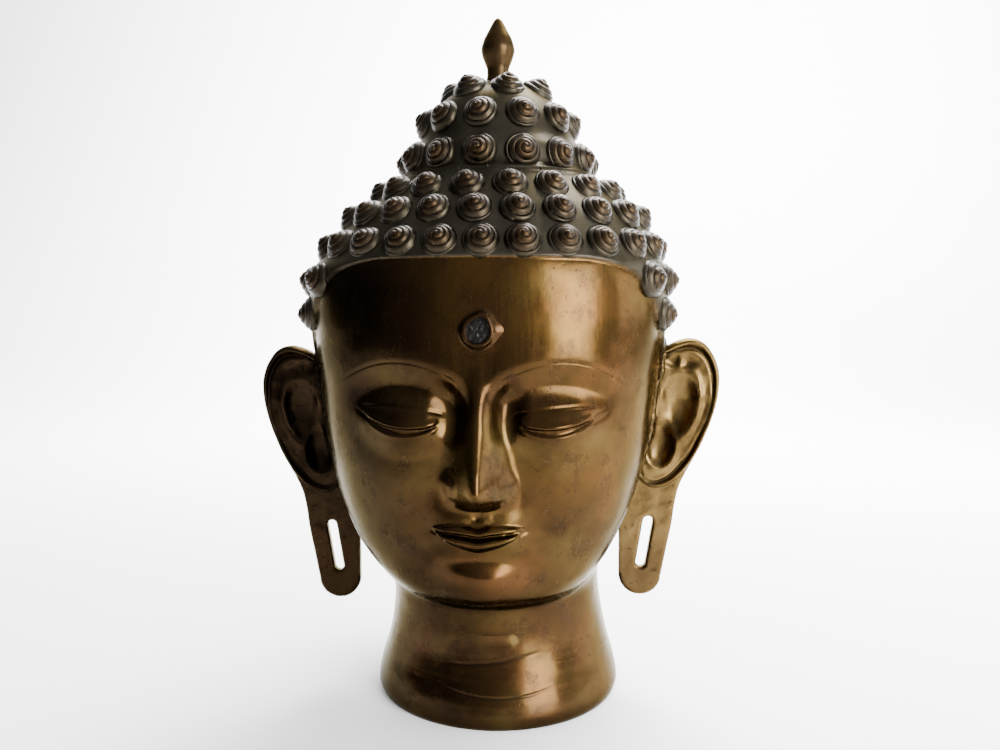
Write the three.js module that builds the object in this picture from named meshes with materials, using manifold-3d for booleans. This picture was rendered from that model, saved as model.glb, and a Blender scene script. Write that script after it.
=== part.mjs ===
// Bronze head of a Buddha on its own flared neck: one hollow-cast head with rows of snail-shell
// curls, two flat ears brazed to its sides, and a bud finial on the crown. Millimetres, +Z up.
// The face looks along -Y, and the origin is the centre of the underside that the head stands on.
import * as THREE from "three";
import { mergeVertices } from "three/addons/utils/BufferGeometryUtils.js";
import Module from "manifold-3d";

const wasm = await Module();
wasm.setup();

// Driving dimensions
const headHeight = 362; // foot to crown, without the finial
const hairThick = 1.8; // how far the cap of hair stands out from the skin
const curlRadius = 8.8;
const curlHeight = 7.6;
const curlSpacing = 23.5; // along a full row
const backSpacing = 27; // along a row that runs only round the back
const curlSink = 3.5; // how deep a curl is rooted in the cap
const earSpan = 276; // over both ears
const earHeight = 157;
const earDrop = 5; // the left ear sits this much lower than the right one
const earShift = -5.7; // both ears lie this far to the right with the head, which leans that way
const earPlate = 5; // thickness of the lobe and of the ear's back
const earRim = 5; // how far the rolled rim stands in front of the plate
const bowlFloor = 3; // metal left under the two bowls of an ear
const lobeWidth = 25.5;
const slotWidth = 6;
const slotLength = 32;
const slotLean = THREE.MathUtils.degToRad(9);
const earClearance = 6; // between the ear's back and the curls behind it
const stoneRadius = 6.2; // seat of the lost forehead stone
const collarWall = 1.2; // at the top of the raised ring round it
const collarFlare = 2.6; // how much wider the ring is at its foot
const collarHeight = 3;
const finialHeight = 38;
const finialRadius = 10;
const stemRadius = 6.5;
const jointGap = 0.3; // filled with braze on the real head
const rounds = 32; // facets round the head

// The head's form is drawn on a grid of 362 shares of its height
const share = headHeight / 362;
const CHIN = 76;
const HAIRLINE = 252;
const THIRD = (HAIRLINE - CHIN) / 3;
const BROW = HAIRLINE - THIRD;
const NOSE = CHIN + THIRD;
const MOUTH = NOSE - THIRD / 3;
const EYE = BROW - THIRD * 0.3;
const FACE_HALF = 98.5;
const EYE_IN = FACE_HALF / 5;
const EYE_MID = (2 * FACE_HALF) / 5;
const EYE_HALF = EYE_MID - EYE_IN;
const KNOT_BASE = 305; // where the top knot rises from the cap
const CROWN = 362;
const NAPE = 118; // lower edge of the hair at the back
const STONE = 218; // middle of the lost forehead stone
const earTop = 211.4 * share; // top of the right ear

// Smooth curve through the points [x, y], without overshoot
function curve(points) {
  const slopes = points.slice(1).map(([x, y], i) => (y - points[i][1]) / (x - points[i][0]));
  const tangents = points.map((_, i) => {
    if (i === 0 || i === points.length - 1) return slopes[Math.min(i, slopes.length - 1)];
    const [before, after] = [slopes[i - 1], slopes[i]];
    return before * after <= 0 ? 0 : (2 * before * after) / (before + after);
  });
  return (x) => {
    const last = points.length - 1;
    if (x <= points[0][0]) return points[0][1];
    if (x >= points[last][0]) return points[last][1];
    const i = points.findIndex(([px]) => px > x) - 1;
    const span = points[i + 1][0] - points[i][0];
    const t = (x - points[i][0]) / span;
    return (
      (1 + 2 * t) * (1 - t) ** 2 * points[i][1] +
      t * (1 - t) ** 2 * span * tangents[i] +
      t * t * (3 - 2 * t) * points[i + 1][1] +
      t * t * (t - 1) * span * tangents[i + 1]
    );
  };
}
const clamp = (t) => Math.min(1, Math.max(0, t));
function step(from, to, t) {
  const q = clamp((t - from) / (to - from));
  return q * q * (3 - 2 * q);
}
const bell = (t) => Math.exp(-t * t);
const mound = (distance2) => clamp(1 - distance2) ** 2;
function blend(a, b, softness) {
  const h = clamp(0.5 + (0.5 * (a - b)) / softness);
  return b * (1 - h) + a * h + softness * h * (1 - h);
}

// Plan of the head at each level: half width, depth in front and depth behind
const halfWidth = curve([
  [50, 44], [62, 55], [70, 62], [78, 68], [88, 75], [104, 83], [124, 90], [150, 95.5], [175, 98.5],
  [205, 101.5], [235, 103.5], [251, 102], [258, 98.5], [264, 94.5], [270, 91], [281, 84], [293, 70],
  [301, 60.5], [305, 57], [310, 54.5], [318, 52.5], [326, 46.5], [337, 42.5], [346, 36.5], [352, 30],
  [356.5, 23.5], [360, 16], [362, 9],
]);
const frontDepth = curve([
  [50, 30], [62, 50], [68, 66], [73, 80], [78, 87], [86, 90.5], [100, 92.5], [134, 94.5], [176, 96],
  [215, 97], [235, 95], [252, 91.5], [264, 86], [275, 79.5], [285, 72.5], [295, 64], [301, 59],
  [305, 56], [310, 54], [318, 52], [326, 46], [337, 42], [346, 36.5], [352, 30], [356.5, 23.5], [360, 16],
  [362, 9],
]);
const backDepth = curve([
  [40, 50], [60, 66], [72, 78], [84, 89], [100, 99], [125, 107], [155, 111], [185, 113], [215, 112],
  [240, 108], [258, 100], [270, 92], [281, 83], [293, 70], [301, 60.5], [305, 57], [310, 54.5],
  [318, 52.5], [326, 46.5], [337, 42.5], [346, 36.5], [352, 30], [356.5, 23.5], [360, 16], [362, 9],
]);
const neckRadius = curve([
  [0, 72], [4, 73.5], [12, 72], [25, 67.5], [38, 64], [50, 62.5], [65, 63], [85, 64], [105, 60],
  [140, 20], [160, 0],
]);
const backLift = curve([[0, 0], [20, 6], [50, 20], [80, 30], [110, 24], [140, 12], [180, 3], [210, 0]]);
const sway = (level) => -5 * step(30, 110, level) * step(300, 240, level);

const browLine = (s) => BROW + 9 - 0.0105 * (s - 42) ** 2 - 3 * clamp((14 - s) / 14) ** 2;
const lidShare = (s) => (s - EYE_MID) / EYE_HALF;
const upperLid = (s) => EYE - 6.5 + 3.2 * lidShare(s) ** 2 + 1.3 * lidShare(s);
const lowerLid = (s) => upperLid(s) - 3.4 * clamp(1 - lidShare(s) ** 2) ** 0.8;
const noseHeight = curve([
  [121, 0], [127, 2], [131.5, 11], [135.5, 20], [140, 24], [146, 22.5], [157, 17], [168, 11.5],
  [178, 7.5], [188, 4.5], [198, 1.5], [208, 0],
]);
const noseWidth = curve([[121, 18], [140, 19], [152, 16.5], [166, 14], [180, 13], [192, 15], [208, 22]]);

// How far the features stand in front of the plain face, at x from the middle and at height z
function features(x, z) {
  const s = Math.abs(x);
  let out = 0;
  out -= 4.5 * mound(((s - 38) / 36) ** 2 + ((z - EYE - 9) / 20) ** 2);
  out -= 5 * mound(((s - 14) / 13) ** 2 + ((z - EYE - 3) / 20) ** 2);
  const brow = step(4, 14, s) * step(84, 62, s);
  out += 1.6 * brow * (step(-7, 1.5, z - browLine(s)) - step(1.5, 22, z - browLine(s)));
  out += 7.6 * mound(((s - EYE_MID) / 30) ** 2 + ((z - EYE + 4) / 21) ** 2);
  const open = step(0.12, 0.5, clamp(1 - lidShare(s) ** 2));
  out -= 1.3 * open * step(-1, 1, upperLid(s) - z) * step(-1, 1, z - lowerLid(s));
  out += 0.8 * open * bell((z - upperLid(s) - 1.2) / 1.6);
  const ridge = noseHeight(z) * clamp(1 - (Math.hypot(s, 3.6) - 3.6) / noseWidth(z)) ** 1.5;
  const wing = 9 * mound((((s - 10.5) / 10) ** 2 + ((z - NOSE - 5) / 10) ** 2) * 0.8);
  out = blend(out + ridge, out + wing * step(NOSE - 5, NOSE + 1, z), 4) - 1;
  out += 6 * mound((s / 42) ** 2 + ((z - MOUTH + 1) / 28) ** 2);
  const seam = MOUTH + 2.2 * (s / 27) ** 2 - 0.8 * bell(s / 5);
  const lips = clamp(1 - (s / 26) ** 2);
  const above = clamp((z - seam) / Math.max(0.5, 6.2 * lips ** 0.7 - 1.1 * bell(s / 3.6)));
  const below = clamp((seam - z) / Math.max(0.5, 7.8 * clamp(1 - (s / 22) ** 2) ** 0.75));
  out += 2.8 * Math.sin(Math.PI * above ** 0.8) * step(0, 0.5, lips);
  out += 3.5 * Math.sin(Math.PI * below ** 0.85) * step(0, 0.5, lips);
  out -= 1.6 * bell((z - seam) / 1.6) * step(0, 0.3, lips);
  out -= 1.4 * bell(Math.hypot((s - 28) / 7, (z - MOUTH - 2) / 8));
  out -= 2.8 * bell((z - MOUTH + 14) / 6) * bell(s / 20);
  out += 7.5 * mound((s / 30) ** 2 + ((z - CHIN - 12) / 22) ** 2);
  out += 3.5 * mound(((s - 50) / 36) ** 2 + ((z - NOSE - 8) / 42) ** 2);
  return out;
}

// Lower edge of the hair at each angle from the middle of the face, level across the forehead
const hairline = [
  [0, HAIRLINE + 3.5], [0.55, HAIRLINE + 3], [0.8, 251], [0.95, 243.5], [1.07, 232], [1.15, 222],
  [1.3, 205], [1.45, 190], [1.75, 150], [2.35, NAPE], [3.2, NAPE - 12],
];
const hairEdge = curve(hairline);
const hairAngle = curve(hairline.map(([angle, level]) => [level, angle]).reverse());

// Point of the surface at an angle from the middle of the face and a level, grown outwards by extra
function surface(angle, level, extra = 0) {
  const [side, ahead] = [Math.sin(angle), -Math.cos(angle)];
  const depth = ahead < 0 ? frontDepth(level) : backDepth(level);
  const power = ahead < 0 ? 2 + 0.3 * step(60, 110, level) * step(300, 240, level) : 2;
  const sum = Math.abs(side / halfWidth(level)) ** power + Math.abs(ahead / depth) ** power;
  let head = sum ** (-1 / power);
  const turned = Math.abs(Math.atan2(Math.sin(angle), Math.cos(angle)));
  const hair = step(-1.5, 1.5, level - hairEdge(turned)) * step(KNOT_BASE + 4, KNOT_BASE, level);
  head += (hairThick / share) * hair;
  const radius = blend(head, neckRadius(level), 7) + extra / share;
  const front = step(1.35, 0.9, turned) * step(-6, 2, head - neckRadius(level));
  const x = side * radius;
  const y = ahead * radius - features(x, level) * front;
  const z = level + backLift(level) * step(-75, 60, y);
  return new THREE.Vector3(x + sway(level), y, z).multiplyScalar(share);
}

// Levels of the facets, closer together through the face
const levels = [0, 5, 18, 34, 50, 62];
for (let z = 69; z < 214; z += 7.2) levels.push(z);
levels.push(220, 236, 248, 253, 257.5, 272, 290, 305, 318, 330, 345, 354, CROWN);

function headForm(extra) {
  const profile = [new THREE.Vector2(0, levels[0])];
  levels.forEach((z) => profile.push(new THREE.Vector2(1, z)));
  profile.push(new THREE.Vector2(0, CROWN));
  const lathe = new THREE.LatheGeometry(profile, rounds);
  const position = lathe.attributes.position;
  for (let i = 0; i < position.count; i++) {
    const level = position.getY(i);
    const [px, pz] = [position.getX(i), position.getZ(i)];
    const rim = Math.hypot(px, pz) > 0.5;
    const even = Math.atan2(px, pz);
    const crowding = 0.62 * step(30, 70, level) * step(285, 255, level); // finer facets in the face
    const angle = even - crowding * Math.sin(even);
    const place = rim ? surface(angle, level, extra) : new THREE.Vector3(0, 0, level * share);
    position.setXYZ(i, place.x, place.y, place.z);
  }
  return lathe;
}

function solid(geometry) {
  const bare = geometry.clone();
  bare.deleteAttribute("normal");
  bare.deleteAttribute("uv");
  const merged = mergeVertices(bare, 1e-3);
  return new wasm.Manifold(
    new wasm.Mesh({
      numProp: 3,
      vertProperties: new Float32Array(merged.attributes.position.array),
      triVerts: new Uint32Array(merged.index.array),
    }),
  );
}

function geometryOf(body) {
  const mesh = body.getMesh();
  const geometry = new THREE.BufferGeometry();
  geometry.setAttribute("position", new THREE.BufferAttribute(mesh.vertProperties, 3));
  geometry.setIndex(new THREE.BufferAttribute(mesh.triVerts, 1));
  geometry.computeVertexNormals();
  return geometry;
}

// One snail-shell curl, a stepped cone rooted in the surface at an angle and a level
function curl(angle, level, stepped) {
  const foot = surface(angle, level);
  const along = surface(angle + 0.04, level).sub(foot);
  const up = surface(angle, level + 1.5).sub(foot);
  const outward = along.cross(up).normalize();
  const profile = [
    new THREE.Vector2(0, -curlSink),
    new THREE.Vector2(curlRadius * rootFlare, -curlSink),
    new THREE.Vector2(0, curlHeight),
  ];
  if (stepped) profile.splice(2, 0, new THREE.Vector2(curlRadius * stepShare, curlHeight / 2));
  const cone = new THREE.LatheGeometry(profile, stepped ? 6 : 5);
  cone.applyQuaternion(new THREE.Quaternion().setFromUnitVectors(new THREE.Vector3(0, 1, 0), outward));
  cone.translate(foot.x, foot.y, foot.z);
  return solid(cone);
}

// Levels of the rows of curls
const rows = [355, 337, 314, 295, 281, 264, 245, 226, 207, 188, 169, 150, 131];
const turns = [0.3, 0.67, 0.68, 0.43, 0.69, 0.96]; // of each full row, as a share of its spacing
const rootFlare = 1.1; // a curl's buried root over its radius
const stepShare = 0.75; // a curl's step over its radius

// Angle from the middle of the face at which a row starts: at the hairline, or behind the ear
function rowStart(level) {
  if (level > HAIRLINE) return 0;
  const atHairline = hairAngle(level) + 0.11;
  if (level * share - curlRadius > earTop) return atHairline;
  const behindEar = Math.asin((curlRadius * rootFlare + earClearance) / (halfWidth(level) * share));
  return Math.max(atHairline, Math.PI / 2 + behindEar);
}

function addCurls(head) {
  let dressed = head;
  rows.forEach((level, row) => {
    const start = rowStart(level);
    const girth = ((halfWidth(level) + backDepth(level)) / 2) * share;
    const sweep = 2 * (Math.PI - start);
    const count = Math.max(5, Math.round((girth * sweep) / (start > 0 ? backSpacing : curlSpacing)));
    const pitch = start > 0 ? sweep / (count - 1) : sweep / count;
    const offset = start > 0 ? 0 : turns[row] * pitch;
    for (let i = 0; i < count; i++) {
      const angle = start + offset + i * pitch;
      const inFront = Math.cos(angle) > 0.25;
      dressed = dressed.add(curl(angle, level, inFront));
    }
  });
  return dressed;
}

// Raised ring round the empty seat of the forehead stone
function collar() {
  const seatFloor = collarHeight / 4;
  const foot = stoneRadius + collarWall + collarFlare;
  const profile = [
    new THREE.Vector2(0, -2 * collarHeight),
    new THREE.Vector2(foot, -2 * collarHeight),
    new THREE.Vector2(foot, 0),
    new THREE.Vector2(stoneRadius + collarWall, collarHeight),
    new THREE.Vector2(stoneRadius, collarHeight),
    new THREE.Vector2(stoneRadius, seatFloor),
    new THREE.Vector2(0, seatFloor),
  ];
  const ring = new THREE.LatheGeometry(profile, 10);
  const place = surface(0, STONE);
  ring.rotateX(Math.PI / 2);
  ring.translate(place.x, place.y, place.z);
  return solid(ring);
}

const headBody = addCurls(solid(headForm(0))).add(collar());

// Right ear as a plate that faces forwards, drawn in x and z from the middle of the head. Its
// outline runs from its root inside the head (0) to its outer edge (1), and from top (0) to foot (1).
const earRoot = 66 * share;
const earEdge = earSpan / 2;
const onEar = (across, down) =>
  new THREE.Vector2(earRoot + across * (earEdge - earRoot), earTop - down * earHeight);
const lobeEnd = new THREE.Vector2(onEar(0.37, 0).x, earTop - earHeight + lobeWidth / 2);
const slotMiddle = onEar(0.405, 0.79);

function earOutline() {
  const start = onEar(0.19, 0.09);
  const shape = new THREE.Shape();
  shape.moveTo(start.x, start.y);
  shape.splineThru([
    onEar(0.52, 0.039), onEar(0.77, 0), onEar(0.95, 0.065), onEar(1, 0.165), onEar(0.922, 0.334),
    onEar(0.697, 0.552), onEar(0.632, 0.717),
    new THREE.Vector2(lobeEnd.x + lobeWidth / 2, lobeEnd.y),
  ]);
  shape.absarc(lobeEnd.x, lobeEnd.y, lobeWidth / 2, 0, -Math.PI, true);
  for (const corner of [onEar(0.19, 0.67), onEar(0.08, 0.58), onEar(0, 0.38), onEar(0, 0.127)]) {
    shape.lineTo(corner.x, corner.y);
  }
  return shape;
}

function slotPath() {
  const reach = (slotLength - slotWidth) / 2;
  const [dx, dz] = [Math.sin(slotLean) * reach, Math.cos(slotLean) * reach];
  const { x, y } = slotMiddle;
  const path = new THREE.Path();
  path.absarc(x + dx, y + dz, slotWidth / 2, -slotLean, Math.PI - slotLean, false);
  path.absarc(x - dx, y - dz, slotWidth / 2, Math.PI - slotLean, 2 * Math.PI - slotLean, false);
  path.closePath();
  return path;
}

function plate(shape, from, to, curveSegments) {
  const geometry = new THREE.ExtrudeGeometry(shape, { depth: to - from, bevelEnabled: false, curveSegments });
  geometry.rotateX(Math.PI / 2);
  geometry.translate(0, -from, 0);
  return geometry;
}

// The shell of the ear, which ends over the lobe in a U-shaped ledge
function shell() {
  const start = onEar(0.19, 0.09);
  const shape = new THREE.Shape();
  shape.moveTo(start.x, start.y);
  shape.splineThru([
    onEar(0.52, 0.039), onEar(0.77, 0), onEar(0.95, 0.065), onEar(1, 0.165), onEar(0.922, 0.334),
    onEar(0.815, 0.459), onEar(0.65, 0.54), onEar(0.465, 0.57), onEar(0.31, 0.505),
  ]);
  for (const corner of [onEar(0, 0.48), onEar(0, 0.127)]) {
    shape.lineTo(corner.x, corner.y);
  }
  return shape;
}

// An oval bowl in the shell, its place and half axes as shares of the ear's width and height
function bowl(across, down, wide, high, lean) {
  const { x, y } = onEar(across, down);
  const [reach, rise] = [wide * (earEdge - earRoot), high * earHeight];
  const shape = new THREE.Shape();
  shape.absellipse(x, y, reach, rise, 0, 2 * Math.PI, false, -THREE.MathUtils.degToRad(lean));
  return solid(plate(shape, bowlFloor, earPlate + 2 * earRim, 4));
}

function earBody() {
  const outline = earOutline();
  outline.holes.push(slotPath());
  const thin = solid(plate(outline, 0, earPlate, 3));
  const raised = solid(plate(shell(), earPlate / 2, earPlate + earRim, 3));
  const upperBowl = bowl(0.675, 0.257, 0.14, 0.105, 14);
  const lowerBowl = bowl(0.53, 0.42, 0.108, 0.067, 6);
  return thin.add(raised).subtract(upperBowl).subtract(lowerBowl);
}

const core = solid(headForm(jointGap));

function ear(sign) {
  const geometry = geometryOf(earBody());
  if (sign < 0) {
    geometry.scale(-1, 1, 1);
    const index = geometry.index;
    for (let i = 0; i < index.count; i += 3) {
      const [a, b] = [index.getX(i), index.getX(i + 1)];
      index.setX(i, b);
      index.setX(i + 1, a);
    }
  }
  geometry.translate(earShift, 0, sign < 0 ? -earDrop : 0);
  return solid(geometry).subtract(core);
}

// Bud finial on a short stem: its radius at each share of the height, as a share of the widest radius
const stemShare = 0.65;
const stemEnd = 0.2; // top of the stem, as a share of the height
const finialOutline = curve([
  [0, 0.76], [0.1, stemShare], [0.19, stemShare], [0.285, 0.76], [0.4, 0.93], [0.5, 1], [0.65, 0.86],
  [0.8, 0.56], [0.89, 0.38], [0.965, 0.2], [1, 0.06],
]);
const finialProfile = [new THREE.Vector2(0, 0)];
for (const t of [0, 0.1, 0.19, 0.29, 0.41, 0.53, 0.68, 0.84, 0.95]) {
  const widest = t < stemEnd ? stemRadius / stemShare : finialRadius;
  finialProfile.push(new THREE.Vector2(finialOutline(t) * widest, t * finialHeight));
}
finialProfile.push(new THREE.Vector2(0, finialHeight - jointGap));
const finialForm = new THREE.LatheGeometry(finialProfile, 10);
finialForm.rotateX(Math.PI / 2);
finialForm.translate(0, 0, CROWN * share + jointGap);

const bronze = { color: 0x6b4a2a, roughness: 0.35, metalness: 1 };
const group = new THREE.Group();

function addPiece(name, geometry, look) {
  const mesh = new THREE.Mesh(geometry, new THREE.MeshStandardMaterial(look));
  mesh.name = name;
  group.add(mesh);
}

addPiece("head", geometryOf(headBody), bronze);
addPiece("ear_right", geometryOf(ear(1)), { color: 0x8a6d38, roughness: 0.4, metalness: 1 });
addPiece("ear_left", geometryOf(ear(-1)), { color: 0x6e5530, roughness: 0.4, metalness: 1 });
addPiece("finial", finialForm, { color: 0x6a4428, roughness: 0.3, metalness: 1 });

export default group;
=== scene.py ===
# Bronze head of a Buddha on its own flared neck, with snail-shell curls, brazed ears and a bud finial.
import math
from bisect import bisect_right

import bmesh
import bpy
from mathutils import Matrix, Vector, kdtree, noise


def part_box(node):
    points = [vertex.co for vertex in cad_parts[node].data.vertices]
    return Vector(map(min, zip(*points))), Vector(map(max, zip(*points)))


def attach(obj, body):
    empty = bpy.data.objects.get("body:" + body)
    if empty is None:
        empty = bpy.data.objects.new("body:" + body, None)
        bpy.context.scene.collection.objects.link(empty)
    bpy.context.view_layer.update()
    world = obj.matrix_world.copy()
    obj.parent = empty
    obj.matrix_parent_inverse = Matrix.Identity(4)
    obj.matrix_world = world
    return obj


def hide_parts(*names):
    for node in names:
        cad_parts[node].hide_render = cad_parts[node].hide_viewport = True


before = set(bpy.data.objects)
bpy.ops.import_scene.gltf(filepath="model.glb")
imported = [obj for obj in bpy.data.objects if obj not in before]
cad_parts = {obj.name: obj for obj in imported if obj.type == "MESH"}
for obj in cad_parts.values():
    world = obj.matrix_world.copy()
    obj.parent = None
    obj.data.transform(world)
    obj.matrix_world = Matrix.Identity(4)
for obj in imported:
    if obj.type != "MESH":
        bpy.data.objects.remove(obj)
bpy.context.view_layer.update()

# The head is one hollow bronze casting: flared neck, face and the cap that carries the curls. It was
# cast from wax, then filed and burnished on the skin, while the hair keeps its dull casting surface.
# The form is drawn on a grid of shares of the head's height, the same grid as the solid's.
CROWN = 362
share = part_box("head")[1].z / CROWN
CHIN = 76
HAIRLINE = 252
THIRD = (HAIRLINE - CHIN) / 3
BROW = HAIRLINE - THIRD
NOSE = CHIN + THIRD
MOUTH = NOSE - THIRD / 3
EYE = BROW - THIRD * 0.3
FACE_HALF = 98.5
EYE_IN = FACE_HALF / 5
EYE_MID = 2 * FACE_HALF / 5
EYE_HALF = EYE_MID - EYE_IN
CARVED_HALF = 92
CARVED_FROM, CARVED_TO = 50, 225
KNOT_BASE = 305
NAPE = 118
STONE = 218
HAIR_THICK = 1.8
JAW_SOFTNESS = 15


def curve(points):
    """Smooth curve through the points (x, y), without overshoot."""
    xs = [p[0] for p in points]
    ys = [p[1] for p in points]
    slopes = [(ys[i + 1] - ys[i]) / (xs[i + 1] - xs[i]) for i in range(len(xs) - 1)]
    tangents = [slopes[0]]
    for before, after in zip(slopes, slopes[1:]):
        tangents.append(0 if before * after <= 0 else 2 * before * after / (before + after))
    tangents.append(slopes[-1])

    def at(x):
        if x <= xs[0]:
            return ys[0]
        if x >= xs[-1]:
            return ys[-1]
        i = bisect_right(xs, x) - 1
        span = xs[i + 1] - xs[i]
        t = (x - xs[i]) / span
        u = 1 - t
        return ((1 + 2 * t) * u * u * ys[i] + t * u * u * span * tangents[i]
                + t * t * (3 - 2 * t) * ys[i + 1] - t * t * u * span * tangents[i + 1])

    return at


def clamp(t):
    return 0.0 if t < 0 else 1.0 if t > 1 else t


def step(start, end, t):
    q = clamp((t - start) / (end - start))
    return q * q * (3 - 2 * q)


def bell(t):
    return math.exp(-t * t) if abs(t) < 4 else 0.0


def mound(distance_squared):
    return (1 - distance_squared) ** 2 if distance_squared < 1 else 0.0


def blend(a, b, softness):
    """The larger of two sizes, with a soft passage where they are nearly alike."""
    h = clamp(0.5 + 0.5 * (a - b) / softness)
    return b * (1 - h) + a * h + softness * h * (1 - h)


half_width = curve([
    (50, 44), (62, 55), (70, 62), (78, 68), (88, 75), (104, 83), (124, 90), (150, 95.5), (175, 98.5),
    (205, 101.5), (235, 103.5), (251, 102), (258, 98.5), (264, 94.5), (270, 91), (281, 84), (293, 70),
    (301, 60.5), (305, 57), (310, 54.5), (318, 52.5), (326, 46.5), (337, 42.5), (346, 36.5), (352, 30),
    (356.5, 23.5), (360, 16), (362, 9)])
front_depth = curve([
    (50, 30), (62, 50), (68, 66), (73, 80), (78, 87), (86, 90.5), (100, 92.5), (134, 94.5), (176, 96),
    (215, 97), (235, 95), (252, 91.5), (264, 86), (275, 79.5), (285, 72.5), (295, 64), (301, 59),
    (305, 56), (310, 54), (318, 52), (326, 46), (337, 42), (346, 36.5), (352, 30), (356.5, 23.5),
    (360, 16), (362, 9)])
back_depth = curve([
    (40, 50), (60, 66), (72, 78), (84, 89), (100, 99), (125, 107), (155, 111), (185, 113), (215, 112),
    (240, 108), (258, 100), (270, 92), (281, 83), (293, 70), (301, 60.5), (305, 57), (310, 54.5),
    (318, 52.5), (326, 46.5), (337, 42.5), (346, 36.5), (352, 30), (356.5, 23.5), (360, 16), (362, 9)])
neck_radius = curve([
    (0, 72), (4, 73.5), (12, 72), (25, 67.5), (38, 64), (50, 62.5), (65, 63), (85, 64), (105, 60),
    (140, 20), (160, 0)])
back_lift = curve([(0, 0), (20, 6), (50, 20), (80, 30), (110, 24), (140, 12), (180, 3), (210, 0)])
hairline = [
    (0, HAIRLINE + 3.5), (0.55, HAIRLINE + 3), (0.8, 251), (0.95, 243.5), (1.07, 232), (1.15, 222),
    (1.3, 205), (1.45, 190), (1.75, 150), (2.35, NAPE), (3.2, NAPE - 12)]
hair_edge = curve(hairline)
hair_angle = curve([(level, angle) for angle, level in reversed(hairline)])


def sway(level):
    """How far the head is set to the right of its neck."""
    return -5 * step(30, 110, level) * step(300, 240, level)


def brow_line(s):
    return BROW + 9 - 0.0105 * (s - 42) ** 2 - 3 * clamp((14 - s) / 14) ** 2


def lid_share(s):
    return (s - EYE_MID) / EYE_HALF


def upper_lid(s):
    return EYE - 6.5 + 3.2 * lid_share(s) ** 2 + 1.3 * lid_share(s)


def lower_lid(s):
    return upper_lid(s) - 3.4 * clamp(1 - lid_share(s) ** 2) ** 0.8


nose_height = curve([
    (121, 0), (127, 2), (131.5, 11), (135.5, 20), (140, 24), (146, 22.5), (157, 17), (168, 11.5),
    (178, 7.5), (188, 4.5), (198, 1.5), (208, 0)])
nose_width = curve([(121, 18), (140, 19), (152, 16.5), (166, 14), (180, 13), (192, 15), (208, 22)])


def eye_relief(s, z):
    """Socket, brow, ball, slit, lids, fold and outer tail of an eye."""
    out = -4.5 * mound(((s - 38) / 36) ** 2 + ((z - EYE - 9) / 20) ** 2)
    out -= 5 * mound(((s - 14) / 13) ** 2 + ((z - EYE - 3) / 20) ** 2)
    brow = step(4, 14, s) * step(84, 62, s)
    if brow:
        above = z - brow_line(s)
        out += 1.2 * brow * (step(-8, 2, above) - step(2, 24, above))
        out -= 0.7 * brow * bell(above / 0.6)
    out += 7.6 * mound(((s - EYE_MID) / 30) ** 2 + ((z - EYE + 4) / 21) ** 2)
    lid = lid_share(s)
    if abs(lid) < 1.5:
        opened = step(0.0, 0.25, clamp(1 - lid * lid))
        margin = upper_lid(s)
        out -= 1.5 * opened * step(-0.5, 0.5, margin - z) * step(-0.5, 0.5, z - lower_lid(s))
        out += 0.8 * opened * bell((z - margin - 1.3) / 1.4)
        out += 0.5 * opened * bell((z - lower_lid(s) + 1.2) / 1.3)
        fold = margin + 3 + 7 * clamp(1 - (lid / 1.15) ** 2) ** 0.8
        out -= 0.7 * bell((z - fold) / 0.8) * step(1.2, 1.0, abs(lid))
        tail = margin + 2.5 * (lid - 1)
        out -= 0.7 * bell((z - tail) / 0.7) * step(0.85, 1, lid) * step(1.4, 1.1, lid)
    return out


def with_nose(out, s, z):
    """The face's relief with the ridge and wings of the nose joined softly to it."""
    height = nose_height(z)
    across = (math.hypot(s, 3.6) - 3.6) / nose_width(z)
    ridge = height * clamp(1 - across) ** 1.5 if height > 0 else 0.0
    wing = 9 * mound((((s - 10.5) / 10) ** 2 + ((z - NOSE - 5) / 10) ** 2) * 0.8)
    return blend(out + ridge, out + wing * step(NOSE - 5, NOSE + 1, z), 4) - 1


def mouth_relief(s, z):
    """Lips, their seam and corners, the groove above them and the hollow below."""
    seam = MOUTH + 2.2 * (s / 27) ** 2 - 0.8 * bell(s / 5)
    lips = clamp(1 - (s / 26) ** 2)
    above = clamp((z - seam) / max(0.5, 6.2 * lips ** 0.7 - 1.1 * bell(s / 3.6)))
    below = clamp((seam - z) / max(0.5, 7.8 * clamp(1 - (s / 22) ** 2) ** 0.75))
    out = 2.8 * max(0, math.sin(math.pi * above ** 0.8)) * step(0, 0.5, lips)
    out += 3.5 * max(0, math.sin(math.pi * below ** 0.85)) * step(0, 0.5, lips)
    out -= 1.6 * bell((z - seam) / 1.2) * step(0, 0.3, lips)
    out -= 1.4 * bell(math.hypot((s - 28) / 7, (z - MOUTH - 2) / 8))
    groove = step(MOUTH + 6.5, MOUTH + 9, z) * step(NOSE, NOSE - 5, z)
    out -= 1.1 * bell(s / 2.8) * groove
    out += 0.5 * bell((s - 4.8) / 2.2) * groove
    return out - 2.8 * bell((z - MOUTH + 14) / 6) * bell(s / 20)


def features(x, z):
    """How far the face stands in front of its plain form, at x from the middle and at height z."""
    s = abs(x)
    if s > CARVED_HALF or z < CARVED_FROM or z > CARVED_TO:
        return 0.0
    out = with_nose(eye_relief(s, z), s, z)
    out += 6 * mound((s / 42) ** 2 + ((z - MOUTH + 1) / 28) ** 2)
    if s < 40 and abs(z - MOUTH) < 26:
        out += mouth_relief(s, z)
    out += 7.5 * mound((s / 30) ** 2 + ((z - CHIN - 12) / 22) ** 2)
    out += 3.5 * mound(((s - 50) / 36) ** 2 + ((z - NOSE - 8) / 42) ** 2)
    return out


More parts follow.
